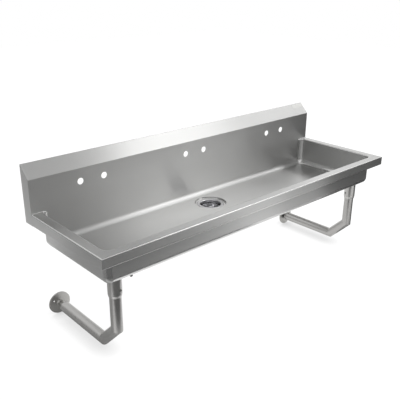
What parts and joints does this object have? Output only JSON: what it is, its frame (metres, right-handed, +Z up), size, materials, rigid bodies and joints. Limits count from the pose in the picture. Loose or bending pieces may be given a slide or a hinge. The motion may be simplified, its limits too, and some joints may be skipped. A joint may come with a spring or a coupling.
{
  "type": "wall-hung trough sink",
  "caption": "Long wall-hung trough sink of bent sheet with coved bowl, boxed backsplash drilled for taps, basket drain and tubular wall brackets on screw-in feet.",
  "frame": {"origin": "On the wall plane, at mid length, on the screw line of the hanger strip: 127 mm above the top of the rim.", "axes": "+X along the sink, to the right as seen from the front. +Y into the wall. +Z up."},
  "size_m": [1.524, 0.4953, 0.6337],
  "materials": {
    "brushed_sheet": "satin brushed stainless sheet, grain along each panel",
    "galvanised_strip": "zinc coated steel strip",
    "plate_steel": "plain stainless plate",
    "socket_steel": "cast and blasted stainless",
    "screw_steel": "dark plain steel",
    "tube_steel": "satin drawn stainless tube",
    "plug_plastic": "black moulded plastic round a threaded insert",
    "foot_steel": "turned stainless",
    "polished_steel": "polished stainless",
    "gasket_rubber": "black rubber",
    "fibre": "brown fibre",
    "nut_brass": "plain brass",
    "basket_steel": "bright pressed stainless",
    "stopper_rubber": "black rubber",
    "washer_plastic": "white plastic",
    "chrome_plate": "bright plated"
  },
  "bodies": {
    "sink": {"bowl": "brushed_sheet", "backsplash": "brushed_sheet", "front_rim": "brushed_sheet", "side_rim_left": "brushed_sheet", "side_rim_right": "brushed_sheet", "splash_end_left": "brushed_sheet", "splash_end_right": "brushed_sheet", "wall_hanger": "galvanised_strip", "socket_plate_left": "plate_steel", "socket_plate_right": "plate_steel", "socket_left": "socket_steel", "socket_right": "socket_steel", "set_screw_left": "screw_steel", "set_screw_right": "screw_steel", "upright_left": "tube_steel", "upright_right": "tube_steel", "knee_left": "tube_steel", "knee_right": "tube_steel", "wall_run_left": "tube_steel", "wall_run_right": "tube_steel", "tube_plug_left": "plug_plastic", "tube_plug_right": "plug_plastic", "strainer_body": "polished_steel", "strainer_gasket": "gasket_rubber", "friction_ring": "fibre", "locknut": "nut_brass", "tail_washer": "washer_plastic", "coupling_nut": "chrome_plate", "tailpiece": "chrome_plate", "bonding_stud": "screw_steel", "bonding_nut": "nut_brass"},
    "basket": {"strainer_basket": "basket_steel", "basket_post": "basket_steel", "stopper": "stopper_rubber"},
    "foot_left": {"wall_foot_left": "foot_steel"},
    "foot_right": {"wall_foot_right": "foot_steel"}
  },
  "joints": [
    {"name": "basket_lift", "type": "slide", "parent": "sink", "child": "basket", "axis": [0, 0, 1], "range_m": [0, 0.19]},
    {"name": "foot_left_screw", "type": "slide", "parent": "sink", "child": "foot_left", "axis": [0, -1, 0], "range_m": [0, 0.036]},
    {"name": "foot_right_screw", "type": "slide", "parent": "sink", "child": "foot_right", "axis": [0, -1, 0], "range_m": [-0.028, 0.008]}
  ]
}
